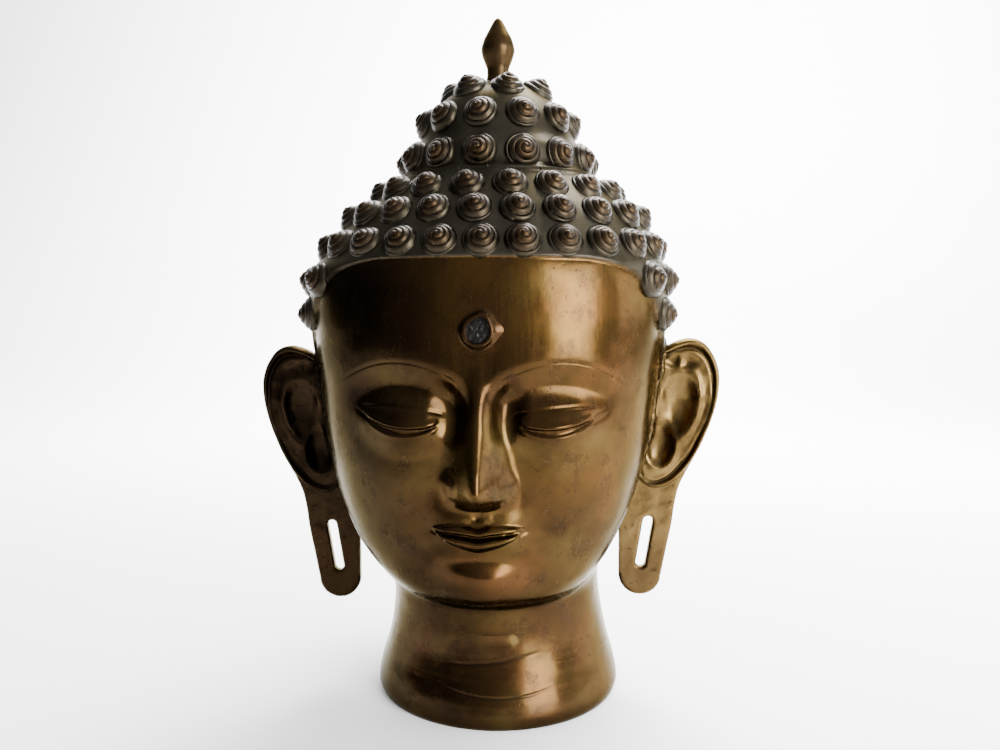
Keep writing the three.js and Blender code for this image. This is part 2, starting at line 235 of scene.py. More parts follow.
def surface(angle, level, fine=0.0):
    """Point of the skin or cap in metres, at an angle from the middle of the face and a level."""
    side = math.sin(angle)
    ahead = -math.cos(angle)
    depth = front_depth(level) if ahead < 0 else back_depth(level)
    power = 2 + 0.3 * step(60, 110, level) * step(300, 240, level) if ahead < 0 else 2
    head = (abs(side / half_width(level)) ** power + abs(ahead / depth) ** power) ** (-1 / power)
    turned = abs(math.atan2(side, math.cos(angle)))
    hair = step(-0.7, 0.7, level - hair_edge(turned))
    head += HAIR_THICK * hair * step(KNOT_BASE + 4, KNOT_BASE, level)
    neck = neck_radius(level)
    radius = blend(head, neck, JAW_SOFTNESS) + fine
    front = step(1.35, 0.9, turned) * step(-6, 2, head - neck)
    x = side * radius
    y = ahead * radius
    if front > 0:
        y -= features(x, level) * front
    z = level + back_lift(level) * step(-75, 60, y)
    return Vector((x + sway(level), y, z)) * share


# The neck has three incised creases in front: (left end's height, right end's, from x, to x, sag, depth)
CREASES = [(51, 52, -12, 18, 1, 0.3), (33, 39, -22, 25, 1, 0.6), (21.5, 21.5, -30, 38, 4.5, 0.6)]
CREASE_WIDTH = 0.55


def crease_depth(point):
    """How deep the creases of the neck are cut at a point of the skin."""
    z = point.z / share
    x = point.x / share - sway(z)
    cut = 0.0
    for left, right, start, end, sag, depth in CREASES:
        t = (x - start) / (end - start)
        if -0.1 < t < 1.1 and point.y < 0:
            line = left + (right - left) * t - sag * (1 - (2 * t - 1) ** 2)
            fading = step(-0.1, 0.35, t) * step(1.1, 0.65, t)
            cut = max(cut, depth * bell((z - line) / CREASE_WIDTH) * fading)
    return cut


def spread(start, end, pitch):
    """Evenly spaced values about a pitch apart, without the last one."""
    count = max(1, round((end - start) / pitch))
    return [start + (end - start) * i / count for i in range(count)]


# The mesh has closer levels at the jaw, over the face, at the hairline and at the foot of the knot
levels = (spread(0, 56, 2.0) + spread(56, 82, 0.65) + spread(82, 222, 1.3) + spread(222, 250, 2.0)
          + spread(250, 259, 0.8) + spread(259, 299, 2.6) + spread(299, 311, 0.8)
          + spread(311, CROWN, 2.6) + [CROWN])
ROUNDS = 216
FACE_ROUND = 95
NECK_ROUND = 65
FACE_CROWDING = 0.62

bm = bmesh.new()
chain = [bm.verts.new((0, 0, levels[0]))]
chain += [bm.verts.new((0, -1, z)) for z in levels]
chain.append(bm.verts.new((0, 0, CROWN)))
for a, b in zip(chain, chain[1:]):
    bm.edges.new((a, b))
bmesh.ops.spin(bm, geom=bm.verts[:] + bm.edges[:], cent=(0, 0, 0), axis=(0, 0, 1), angle=2 * math.pi,
               steps=ROUNDS, use_merge=True)
bmesh.ops.remove_doubles(bm, verts=bm.verts, dist=1e-5)


def crowded(even, level):
    """An evenly spaced angle moved towards the face, where the mesh has to be closer."""
    return even - FACE_CROWDING * step(30, 70, level) * step(285, 255, level) * math.sin(even)


def detail(face):
    """How many times finer than the rest a face has to be."""
    middle = face.calc_center_median()
    angle = abs(crowded(math.atan2(middle.x, -middle.y), middle.z))
    on_skin, on_neck = angle * FACE_ROUND, angle * NECK_ROUND
    eyes = 12 < on_skin < 88 and EYE - 16 < middle.z < BROW + 14
    mouth = on_skin < 38 and MOUTH - 14 < middle.z < NOSE + 16
    creases = on_neck < 42 and 4 < middle.z < 60
    return 3 if creases else 2 if eyes or mouth else 1


for times in (2, 3):
    fine_edges = list({e for f in bm.faces if detail(f) == times for e in f.edges})
    bmesh.ops.subdivide_edges(bm, edges=fine_edges, cuts=times - 1, use_grid_fill=True)

# The vertices carry the share of hair, of darkening in a recess and of the stone's rough seat
hair_layer = bm.verts.layers.float.new("hair")
recess_layer = bm.verts.layers.float.new("recess")
bm.verts.layers.float.new("seat")
for v in bm.verts:
    level = v.co.z
    if math.hypot(v.co.x, v.co.y) < 0.5:
        v.co = Vector((0, 0, level * share))
        v[hair_layer] = 1.0 if level > 200 else 0.0
        continue
    angle = crowded(math.atan2(v.co.x, -v.co.y), level)
    place = surface(angle, level)
    on_grid = place / share
    wobble = noise.noise(on_grid * 0.045) * 0.35 + noise.noise(on_grid * 0.13) * 0.1
    seam_level = KNOT_BASE + 1.5 * noise.noise(on_grid * 0.06)
    seam = 0.7 * bell((level - seam_level) / 0.7) + 0.5 * bell((level - seam_level + 2.6) / 0.7)
    place = surface(angle, level, wobble * step(0, 8, level) + seam - crease_depth(place))
    v.co = place
    turned = abs(math.atan2(math.sin(angle), math.cos(angle)))
    v[hair_layer] = step(-0.7, 0.7, level - hair_edge(turned))
    v[recess_layer] = crease_depth(place)
bmesh.ops.recalc_face_normals(bm, faces=bm.faces)

# The empty seat of the forehead stone: a raised ring, cast on, with a scratched floor
STONE_RADIUS = 6.2
RING_TOP = 1.2
RING_HEIGHT = 3
RING_OUTER = STONE_RADIUS + RING_TOP
RING_FOOT = STONE_RADIUS + 4.6
RING_SINK = 0.3
RING_FACETS = 64
SEAT_FLOOR = RING_HEIGHT / 4


def on_face(x, level):
    """Point of the skin at x from the middle of the face."""
    angle = x / front_depth(level)
    for _ in range(4):
        angle -= (surface(angle, level).x / share - sway(level) - x) / front_depth(level)
    return surface(angle, level)


def ring_height(radius):
    """Height of the seat and its ring over the skin. The ring's foot is sunk into it."""
    if radius < STONE_RADIUS:
        return SEAT_FLOOR + (RING_HEIGHT - SEAT_FLOOR) * step(0.93, 1, radius / STONE_RADIUS)
    slope = clamp((radius - RING_OUTER) / (RING_FOOT - RING_OUTER))
    return (RING_HEIGHT + RING_SINK) * (1 - slope) ** 1.6 - RING_SINK


ring = bmesh.new()
WALL_FOOT = STONE_RADIUS - 0.6
radii = (spread(0, WALL_FOOT, 0.45) + spread(WALL_FOOT, RING_OUTER, 0.2)
         + spread(RING_OUTER, RING_FOOT, 0.5) + [RING_FOOT])
chain = [ring.verts.new((radius, 0, 0)) for radius in radii]
for a, b in zip(chain, chain[1:]):
    ring.edges.new((a, b))
bmesh.ops.spin(ring, geom=ring.verts[:] + ring.edges[:], cent=(0, 0, 0), axis=(0, 0, 1), angle=2 * math.pi,
               steps=RING_FACETS, use_merge=True)
bmesh.ops.remove_doubles(ring, verts=ring.verts, dist=1e-4)
ring_seat = ring.verts.layers.float.new("seat")
ring.verts.layers.float.new("hair")
ring_recess = ring.verts.layers.float.new("recess")

# It is drawn out to a point at one turn, and its foot runs out in a short tail at another
POINT_TURN = 1.2
TAIL_TURN = 0.1
for v in ring.verts:
    radius = math.hypot(v.co.x, v.co.y)
    turn = math.atan2(v.co.y, v.co.x)
    point = 1 + 0.26 * bell((turn - POINT_TURN) / 0.42)
    tail = 1 + 0.35 * bell((turn - TAIL_TURN) / 0.4) * step(RING_OUTER, RING_FOOT, radius)
    x, z = v.co.x * point * tail, v.co.y * point
    height = ring_height(radius)
    floor_share = step(STONE_RADIUS, STONE_RADIUS - 0.5, radius)
    scratch = bell((x * 0.8 + z * 0.6 + 0.6) / 0.5)
    height -= floor_share * (0.25 * scratch + 0.35 * noise.noise(Vector((x, z, 4)) * 0.7))
    v.co = on_face(x, STONE + z) + Vector((0, -height, 0)) * share
    v[ring_seat] = floor_share
    # The ring is a little darker all over, and darker still at the foot of its inner wall and towards its
    # own foot.
    wall_dark = 0.7 * bell((radius - STONE_RADIUS + 0.3) / 0.35)
    foot_dark = 0.3 * step(RING_FOOT - 1.2, RING_FOOT, radius)
    v[ring_recess] = clamp(0.3 + wall_dark + foot_dark)
bmesh.ops.recalc_face_normals(ring, faces=ring.faces)
if sum(f.normal.y for f in ring.faces) > 0:
    bmesh.ops.reverse_faces(ring, faces=ring.faces)
stone_seat = bpy.data.meshes.new("stone_seat")
ring.to_mesh(stone_seat)
ring.free()
bm.from_mesh(stone_seat)
hair_layer = bm.verts.layers.float["hair"]

# Drops of metal left on the seam at the foot of the top knot: (angle, radius)
SEAM_DROPS = [(-0.32, 0.9), (-0.21, 0.7), (-0.05, 1.1), (0.13, 0.8), (0.46, 0.9), (0.71, 0.6)]
for turn, size in SEAM_DROPS:
    drop_place = Matrix.Translation(surface(turn, KNOT_BASE - 4.5 + 4 * size))
    drop = bmesh.ops.create_icosphere(bm, subdivisions=2, radius=size * share, matrix=drop_place)
    for v in drop["verts"]:
        v[hair_layer] = 1.0


def finished(name, bm):
    """A piece of its own in the scene, smooth shaded, made from a bmesh."""
    mesh = bpy.data.meshes.new(name)
    bm.to_mesh(mesh)
    bm.free()
    mesh.shade_smooth()
    piece = bpy.data.objects.new(name, mesh)
    bpy.context.scene.collection.objects.link(piece)
    return piece


head = finished("head_casting", bm)


class Nodes:
    """Small wrapper that adds and links shader nodes."""

    def __init__(self, name):
        self.material = bpy.data.materials.new(name)
        self.material.use_nodes = True
        self.tree = self.material.node_tree
        self.shader = self.tree.nodes["Principled BSDF"]
        self.coords = self.tree.nodes.new("ShaderNodeTexCoord").outputs["Object"]

    def add(self, kind, inputs=None, **settings):
        node = self.tree.nodes.new(kind)
        for key, value in settings.items():
            setattr(node, key, value)
        for key, value in (inputs or {}).items():
            if isinstance(value, bpy.types.NodeSocket):
                self.tree.links.new(value, node.inputs[key])
            else:
                node.inputs[key].default_value = value
        return node

    def set(self, **values):
        for key, value in values.items():
            socket = self.shader.inputs[key.replace("_", " ")]
            if isinstance(value, bpy.types.NodeSocket):
                self.tree.links.new(value, socket)
            else:
                socket.default_value = value

    def noise(self, scale, detail=4.0, stretch=None, roughness=0.55):
        vector = self.coords
        if stretch:
            vector = self.add("ShaderNodeMapping", {"Vector": self.coords, "Scale": stretch}).outputs[0]
        return self.add("ShaderNodeTexNoise", {
            "Vector": vector, "Scale": scale, "Detail": detail, "Roughness": roughness}).outputs["Fac"]

    def ramp(self, value, low, high, start=0.0, end=1.0):
        return self.add("ShaderNodeMapRange", {
            "Value": value, "From Min": low, "From Max": high, "To Min": start, "To Max": end}).outputs[0]

    def mix(self, factor, a, b):
        node = self.tree.nodes.new("ShaderNodeMix")
        node.data_type = "RGBA"
        for socket, value in ((node.inputs[0], factor), (node.inputs[6], a), (node.inputs[7], b)):
            if isinstance(value, bpy.types.NodeSocket):
                self.tree.links.new(value, socket)
            else:
                socket.default_value = value
        return node.outputs[2]

    def math(self, operation, a, b=0.0):
        node = self.add("ShaderNodeMath", {0: a, 1: b}, operation=operation)
        return node.outputs[0]

    def attribute(self, name):
        return self.add("ShaderNodeAttribute", attribute_name=name).outputs["Fac"]

    def bump(self, height, distance, strength=1.0):
        node = self.add("ShaderNodeBump", {"Height": height, "Distance": distance, "Strength": strength})
        self.set(Normal=node.outputs[0])


def rgb(r, g, b):
    return (r, g, b, 1.0)


GROUND_DARK = rgb(0.017, 0.0145, 0.0095)
GROUND_LIGHT = rgb(0.036, 0.031, 0.022)
EDGE_TINT = rgb(0.6, 0.57, 0.5)
WORN_SPOT = (0.0115, -0.0622, 0.0464)


def bronze_skin(name):
    """Burnished brown bronze: olive and rust clouds, stains, pits, polish streaks and one worn spot, with
    painted shade on its left side and towards the bottom.
    """
    n = Nodes(name)
    place = n.add("ShaderNodeSeparateXYZ", {0: n.coords})
    broad = n.ramp(n.noise(14.0, 4.0), 0.38, 0.62)
    blotch = n.ramp(n.noise(38.0, 6.0, roughness=0.62), 0.42, 0.64)
    skin = n.mix(broad, rgb(0.019, 0.0093, 0.002), rgb(0.049, 0.0255, 0.0052))
    skin = n.mix(n.math("MULTIPLY", blotch, 0.6), skin, rgb(0.036, 0.0155, 0.0048))
    olive = n.ramp(n.noise(26.0, 5.0, roughness=0.6), 0.5, 0.68)
    skin = n.mix(n.math("MULTIPLY", olive, 0.65), skin, rgb(0.064, 0.042, 0.0105))
    rust = n.ramp(n.noise(17.0, 5.0, roughness=0.65), 0.52, 0.63)
    skin = n.mix(n.math("MULTIPLY", rust, 0.7), skin, rgb(0.064, 0.027, 0.0068))
    stain = n.ramp(n.noise(75.0, 6.0, roughness=0.7), 0.52, 0.7)
    skin = n.mix(n.math("MULTIPLY", stain, 0.55), skin, rgb(0.012, 0.0075, 0.0035))
    neck = n.ramp(place.outputs["Z"], 0.085, 0.06)
    upright = n.noise(1.0, 4.0, stretch=(500, 500, 22))
    level = n.noise(1.0, 4.0, stretch=(30, 30, 600))
    above_neck = n.math("MULTIPLY", upright, n.math("SUBTRACT", 1.0, neck))
    streaks = n.math("ADD", above_neck, n.math("MULTIPLY", level, neck))
    skin = n.mix(n.math("MULTIPLY", n.ramp(streaks, 0.45, 0.75), 0.07), skin, rgb(0.055, 0.032, 0.012))
    pits = n.ramp(n.noise(330.0, 2.0), 0.66, 0.74)
    skin = n.mix(n.math("MULTIPLY", pits, 0.55), skin, rgb(0.006, 0.004, 0.002))
    from_spot = n.add("ShaderNodeVectorMath", {0: n.coords, 1: WORN_SPOT}, operation="DISTANCE")
    worn_edge = n.math("ADD", from_spot.outputs["Value"], n.math("MULTIPLY", n.noise(160.0, 3.0), 0.007))
    skin = n.mix(n.math("MULTIPLY", n.ramp(worn_edge, 0.0074, 0.0056), 0.85), skin, rgb(0.17, 0.11, 0.034))
    ground = n.mix(n.ramp(n.noise(45.0, 6.0), 0.35, 0.7), GROUND_DARK, GROUND_LIGHT)
    hair = n.attribute("hair")
    # Painted shade: the skin is darkened towards its left side, away from the window light, with a cloudy
    # edge.
    painted_left_shade = n.math("ADD", place.outputs["X"], n.math("MULTIPLY", n.noise(9.0, 3.0), 0.04))
    painted_left_shade = n.ramp(painted_left_shade, 0.005, -0.05)
    skin = n.mix(n.math("MULTIPLY", painted_left_shade, 0.8), skin, rgb(0.004, 0.0024, 0.0012))
    # Painted shade: the lower face and the neck are darkened towards the bottom.
    low = n.ramp(place.outputs["Z"], 0.17, 0.07)
    skin = n.mix(n.math("MULTIPLY", low, 0.38), skin, rgb(0.01, 0.0052, 0.0022))
    color = n.mix(hair, skin, ground)
    color = n.mix(n.attribute("seat"), color, rgb(0.013, 0.0125, 0.0125))
    color = n.mix(n.attribute("recess"), color, rgb(0.007, 0.0045, 0.003))
    rough = n.ramp(streaks, 0.3, 0.7, 0.19, 0.27)
    rough = n.math("ADD", rough, n.math("MULTIPLY", stain, 0.12))
    rough = n.math("ADD", rough, n.math("MULTIPLY", hair, 0.2))
    rough = n.math("ADD", rough, n.math("MULTIPLY", n.attribute("seat"), 0.2))
    n.set(Base_Color=color, Metallic=1.0, Roughness=rough)
    n.set(Specular_Tint=EDGE_TINT, Coat_Weight=0.07, Coat_Roughness=0.18)
    height = n.math("ADD", n.math("MULTIPLY", streaks, 0.25), n.noise(190.0, 4.0))
    height = n.math("SUBTRACT", height, n.math("MULTIPLY", pits, 0.6))
    n.bump(height, 0.00016, 0.5)
    return n.material


head.data.materials.append(bronze_skin("bronze_skin"))
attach(head, "root")
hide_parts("head")


# The curls are little snail shells coiled from wax cord and pressed onto the wax cap, so they were cast
# in one with it. Their tips are rubbed browner than the ground. Each row round the head is turned
# against the one below it by a share of its own spacing.
CURL_RADIUS = 8.8
CURL_WIDE = 9.9  # with the root that flares onto the cap
CURL_HEIGHT = 7.6
CURL_SINK = 3.5
ROW_PITCH = 23.5
BACK_PITCH = 27
EAR_CLEARANCE = 6
EAR_TOP = 211.4
ROOT_FLARE = 1.1
TURNS = 3.4
ROW_TURNS = [0.3, 0.67, 0.68, 0.43, 0.69, 0.96]
ROWS = [355, 337, 314, 295, 281, 264, 245, 226, 207, 188, 169, 150, 131]


def row_start(level):
    """Angle at which a row begins: 0 for a full row, else behind the hairline and the ear."""
    if level > HAIRLINE:
        return 0.0
    at_hairline = hair_angle(level) + 0.11
    if level - CURL_RADIUS > EAR_TOP:
        return at_hairline
    behind_ear = math.asin((CURL_RADIUS * ROOT_FLARE + EAR_CLEARANCE) / half_width(level))
    return max(at_hairline, math.pi / 2 + behind_ear)


def coil_height(r, turn):
    """Height of a curl at a share r of its radius and at a turn from 0 to 1."""
    phase = ((1 - r) * TURNS + turn) % 1.0
    cord = 1 - (1 - phase) ** 2.4 - phase
    cut = 0.16 * max(bell(phase / 0.12), bell((1 - phase) / 0.12))
    dome = 0.92 * (1 - r ** 1.5) + 0.06 * bell(r / 0.12)
    coiled = step(1, 0.92, r) * step(0.05, 0.25, r)
    return CURL_HEIGHT * (dome + 0.8 / TURNS * (cord - cut) * coiled)


RINGS = 17
COIL_FACETS = 18
bm = bmesh.new()
chain = [bm.verts.new((CURL_WIDE, 0, -CURL_SINK))]
chain += [bm.verts.new((CURL_WIDE * (1 - i / RINGS), 0, 0)) for i in range(RINGS + 1)]
for a, b in zip(chain, chain[1:]):
    bm.edges.new((a, b))
bmesh.ops.spin(bm, geom=bm.verts[:] + bm.edges[:], cent=(0, 0, 0), axis=(0, 0, 1), angle=2 * math.pi,
               steps=COIL_FACETS, use_merge=True)
bmesh.ops.remove_doubles(bm, verts=bm.verts, dist=1e-4)
across_layer = bm.verts.layers.float.new("curl_across")
along_layer = bm.verts.layers.float.new("curl_along")
for v in bm.verts:
    r = min(1.0, math.hypot(v.co.x, v.co.y) / CURL_WIDE)
    v[across_layer] = v.co.x / CURL_WIDE
    v[along_layer] = v.co.y / CURL_WIDE
    if v.co.z > -1:
        v.co.z = coil_height(r, (math.atan2(v.co.y, v.co.x) / (2 * math.pi)) % 1.0)
bmesh.ops.recalc_face_normals(bm, faces=bm.faces)
coil = bpy.data.meshes.new("coil")
bm.to_mesh(coil)
bm.free()

bm = bmesh.new()
for row, level in enumerate(ROWS):
    start = row_start(level)
    girth = (half_width(level) + back_depth(level)) / 2
    sweep = 2 * (math.pi - start)
    count = max(5, round(girth * sweep / (BACK_PITCH if start > 0 else ROW_PITCH)))
    pitch = sweep / (count - 1) if start > 0 else sweep / count
    offset = 0 if start > 0 else ROW_TURNS[row] * pitch
    for i in range(count):
        angle = start + offset + i * pitch
        foot = surface(angle, level)
        along = surface(angle + 0.04, level) - foot
        up = surface(angle, level + 1.5) - foot
        outward = along.cross(up).normalized()
        seed = Vector((row * 7.3, i * 3.1, 0.5))
        lean = Vector((noise.noise(seed), noise.noise(seed + Vector((9, 0, 0))), 0)) * 0.12
        size = 1 + 0.07 * noise.noise(seed + Vector((0, 9, 0)))
        turn = Matrix.Rotation(6.28 * noise.noise(seed + Vector((0, 0, 9))), 4, "Z")
        stand = (outward + lean).normalized().to_track_quat("Z", "Y").to_matrix().to_4x4()
        first = len(bm.verts)
        bm.from_mesh(coil)
        bm.verts.ensure_lookup_table()
        bmesh.ops.transform(bm, verts=bm.verts[first:],
                            matrix=Matrix.Translation(foot) @ stand @ turn @ Matrix.Scale(size * share, 4))
curls = finished("hair_curls", bm)


def curl_bronze(name):
    """Dull bronze, dark in the groove that winds round the curl and browner where hands rub it."""
    n = Nodes(name)
    x, y = n.attribute("curl_across"), n.attribute("curl_along")
    radius = n.math("SQRT", n.math("ADD", n.math("MULTIPLY", x, x), n.math("MULTIPLY", y, y)))
    turn = n.math("MULTIPLY", n.math("ARCTAN2", y, x), 0.5 / math.pi)
    turned = n.math("ADD", n.math("MULTIPLY", n.math("SUBTRACT", 1.0, radius), TURNS), turn)
    phase = n.math("FRACT", turned)
    groove = n.ramp(n.math("ABSOLUTE", n.math("SUBTRACT", phase, 0.5)), 0.36, 0.5)
    body = n.ramp(radius, 0.98, 0.88)
    tip = n.ramp(radius, 1.0, 0.45)
    ground = n.mix(n.ramp(n.noise(45.0, 6.0), 0.35, 0.7), GROUND_DARK, GROUND_LIGHT)
    clouds = n.ramp(n.noise(70.0, 3.0), 0.35, 0.65)
    rubbed = n.mix(clouds, rgb(0.016, 0.0095, 0.0046), rgb(0.031, 0.0185, 0.009))
    color = n.mix(n.math("MULTIPLY", tip, 0.85), ground, rubbed)
    cut = n.math("MULTIPLY", groove, body)
    color = n.mix(n.math("MULTIPLY", cut, 0.75), color, rgb(0.007, 0.006, 0.004))
    n.set(Base_Color=color, Metallic=1.0, Roughness=n.ramp(n.noise(90.0, 4.0), 0.3, 0.7, 0.28, 0.46))
    height = n.math("SUBTRACT", n.math("MULTIPLY", n.noise(300.0, 4.0), 0.25), cut)
    n.bump(height, 0.0006, 0.7)
    return n.material


curls.data.materials.append(curl_bronze("curl_bronze"))
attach(curls, "root")
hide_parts("head")


# The ears are flat bronze castings that face forwards, the left one a mirror image set a little lower.
# Each has a rolled rim, a bean-shaped bowl and a long pierced lobe cast in one, and is brazed to the
# side of the head with a lumpy bead.
EAR_ROOT = 66
EAR_EDGE = 138
EAR_HEIGHT = 157
EAR_SHIFT = -5.7
EAR_DROP = 5
PLATE = 5
SHELL = 9.2
RIM = 10
LOBE_HALF = 12.75
SLOT_HALF = 3
SLOT_REACH = 13
SLOT_LEAN = math.radians(9)
RIM_ROUND = 2.4
LOBE_ROUND = 1.3
BLANK_DEPTH = 8
MESH_PITCH = 0.85

# The hollows of the ear: (middle, half axes, lean)
UPPER_BOWL = ((112.4, 171.5), (11.4, 19.5), math.radians(13))
LOWER_BOWL = ((103.4, 146.5), (8.2, 12), math.radians(10))
CHANNEL = ((104.4, 157), (6.4, 9.5), math.radians(12))
FOSSA = ((113.5, 198), (13.5, 5.2), math.radians(8))
BOWL_DEPTH = 5.6
LEDGE_X, LEDGE_Z = 101, 121.8  # lowest place of the ledge over the lobe


def on_ear(across, down):
    """Place on the front of the ear, as shares of its width from the root and of its height down."""
    return Vector((EAR_ROOT + across * (EAR_EDGE - EAR_ROOT), EAR_TOP - down * EAR_HEIGHT))


LOBE_END = on_ear(0.37, 1) + Vector((0, LOBE_HALF))
SLOT_MIDDLE = on_ear(0.405, 0.79)


PATH_STEPS = 10


def through(points):
    """Smooth path through the points, as a list of closely spaced ones."""
    path = []
    ends = [points[0] * 2 - points[1]] + list(points) + [points[-1] * 2 - points[-2]]
    for a, b, c, d in zip(ends, ends[1:], ends[2:], ends[3:]):
        for i in range(PATH_STEPS):
            t = i / PATH_STEPS
            path.append(0.5 * (2 * b + (c - a) * t + (2 * a - 5 * b + 4 * c - d) * t * t
                               + (3 * b - a - 3 * c + d) * t ** 3))
    return path + [points[-1]]


def arc(middle, radius, start, end, count):
    """Points of an arc from its start, without its end."""
    turns = [start + (end - start) * i / count for i in range(count)]
    return [middle + radius * Vector((math.cos(t), math.sin(t))) for t in turns]


EAR_LINE = [
    (0.19, 0.09), (0.36, 0.065), (0.52, 0.039), (0.65, 0.011), (0.77, 0), (0.875, 0.02), (0.95, 0.066),
    (0.988, 0.112), (1, 0.165), (0.981, 0.243), (0.922, 0.334), (0.815, 0.452), (0.7, 0.557),
    (0.657, 0.632), (0.632, 0.717), (0.597, 0.8)]
outer = through([on_ear(*point) for point in EAR_LINE] + [LOBE_END + Vector((LOBE_HALF, 0))])
outer += arc(LOBE_END, LOBE_HALF, 0, -math.pi, 16)[1:] + [LOBE_END - Vector((LOBE_HALF, 0))]
inner_corners = [on_ear(0.19, 0.67), on_ear(0.08, 0.58), on_ear(0, 0.38), on_ear(0, 0.127)]
along_slot = Vector((math.sin(SLOT_LEAN), math.cos(SLOT_LEAN))) * SLOT_REACH
slot_rim = (arc(SLOT_MIDDLE + along_slot, SLOT_HALF, -SLOT_LEAN, math.pi - SLOT_LEAN, 12)
            + arc(SLOT_MIDDLE - along_slot, SLOT_HALF, math.pi - SLOT_LEAN, 2 * math.pi - SLOT_LEAN, 12))


def closed_chain(bm, path):
    chain = [bm.verts.new((p.x, 0, p.y)) for p in path]
    return [bm.edges.new((a, b)) for a, b in zip(chain, chain[1:] + chain[:1])]


def tree_of(path):
    """Search tree over a path, its points no more than a third of a share apart."""
    dense = []
    for a, b in zip(path, path[1:]):
        count = max(1, math.ceil((b - a).length / 0.33))
        dense += [a + (b - a) * i / count for i in range(count)]
    tree = kdtree.KDTree(len(dense))
    for i, p in enumerate(dense):
        tree.insert((p.x, 0, p.y), i)
    tree.balance()
    return tree


RIM_GROOVE = [
    (104, 199.5), (112, 204), (121.5, 205.4), (129, 201.2), (133.6, 190), (133.9, 175.5), (131, 163.2),
    (125.4, 150.9), (119.8, 140.3), (111.9, 130.7), (106.3, 126.5), (98.6, 124.4), (92.4, 129),
    (90.6, 138.6)]
edge_tree = tree_of(outer)
slot_tree = tree_of(slot_rim + slot_rim[:1])
groove_tree = tree_of(through([Vector(point) for point in RIM_GROOVE]))


def ledge_distance(x, z):
    """Distance above the U-shaped ledge in which the shell of the ear ends over the strap."""
    reach, rise = (12.1, 9.5) if x < LEDGE_X else (16, 9)
    t = (x - LEDGE_X) / reach
    return (z - LEDGE_Z - rise * t * t) / math.hypot(1, 2 * rise * t / reach)


def bowl(x, z, middle, radii, lean):
    """Place in a bowl across and up it, as shares of its half axes."""
    dx, dz = x - middle[0], z - middle[1]
    return Vector(((dx * math.cos(lean) - dz * math.sin(lean)) / radii[0],
                   (dx * math.sin(lean) + dz * math.cos(lean)) / radii[1]))


def quarter_round(distance, radius):
    """Height, 0 or less, of a rounded-over edge at a distance from it."""
    t = clamp(distance / radius)
    return radius * (math.sqrt(1 - (1 - t) ** 2) - 1)


def ear_relief(x, z, edge, slot, groove):
    """Height of the ear's front over its back, and how much its colour is darkened there."""
    strap = PLATE + quarter_round(min(edge, slot), LOBE_ROUND)
    inside = ledge_distance(x, z)
    rim = RIM + quarter_round(min(edge, max(0.0, inside)), RIM_ROUND) * 1.6
    past_groove = step(0, 1, (edge - 3.2) / 3.5)
    upper, lower = bowl(x, z, *UPPER_BOWL), bowl(x, z, *LOWER_BOWL)
    channel, fossa = bowl(x, z, *CHANNEL), bowl(x, z, *FOSSA)
    near = min(upper.length, lower.length, channel.length)
    if upper.length < lower.length:
        bean_side = 0.8 * upper.x - 0.35 * upper.y
    else:
        bean_side = 0.7 * lower.x - 0.5 * lower.y
    shell = SHELL - 0.9 * past_groove
    shell += 1.3 * bell((near - 1.17) / 0.15) * step(-0.3, 0.5, bean_side) * past_groove
    shell -= 2.3 * step(1.1, 0.4, fossa.length) * (1 - 0.6 * bell((fossa.x - 0.1) / 0.16))
    depths = [BOWL_DEPTH * clamp(1 - part.length ** 2) ** 0.75 for part in (upper, lower, channel)]
    shell -= min(5.8, blend(blend(depths[0], depths[1], 2), 0.85 * depths[2], 2.5) - 0.1)
    ridge = bell((0.9 * (x - 106.5) + 0.3 * (z - 168)) / 2.6) * bell((z - 178) / 9)
    shell += 1.3 * ridge * step(1.1, 0.8, upper.length)
    shell += 1.6 * mound(((x - 96) / 6) ** 2 + ((z - 160) / 9) ** 2)
    height = rim + (shell - rim) * step(2.6, 4.2, edge) * step(0.6, 2.0, inside)
    height = max(height, 2.6)
    height -= 2.1 * bell(groove / 0.8)
    height = strap + (height - strap) * step(-0.7, 0.5, inside)
    # Darker in the rim's groove, at the foot of the ledge, just inside the bowl's raised edge and in the
    # lower bowl.
    dark_fill = 0.85 * bell(groove / 0.9) + 0.5 * bell((inside + 0.7) / 0.9)
    dark_fill += 0.4 * bell((near - 0.9) / 0.12) * step(-0.2, 0.7, bean_side)
    dark_fill += 0.35 * step(0.9, 0.3, lower.length)
    return height, clamp(dark_fill)


bm = bmesh.new()
loops = closed_chain(bm, outer + inner_corners) + closed_chain(bm, slot_rim)
bmesh.ops.triangle_fill(bm, use_beauty=True, edges=loops)
out = bmesh.ops.extrude_face_region(bm, geom=bm.faces[:])
front_verts = [v for v in out["geom"] if isinstance(v, bmesh.types.BMVert)]
bmesh.ops.translate(bm, verts=front_verts, vec=(0, -BLANK_DEPTH, 0))
bmesh.ops.recalc_face_normals(bm, faces=bm.faces)
blank = finished("ear_blank", bm)
even = blank.modifiers.new("even", "REMESH")
even.mode = "VOXEL"
even.voxel_size = MESH_PITCH
bpy.context.view_layer.update()
evened = blank.evaluated_get(bpy.context.evaluated_depsgraph_get())
ear_mesh = bpy.data.meshes.new_from_object(evened)
bpy.data.objects.remove(blank)

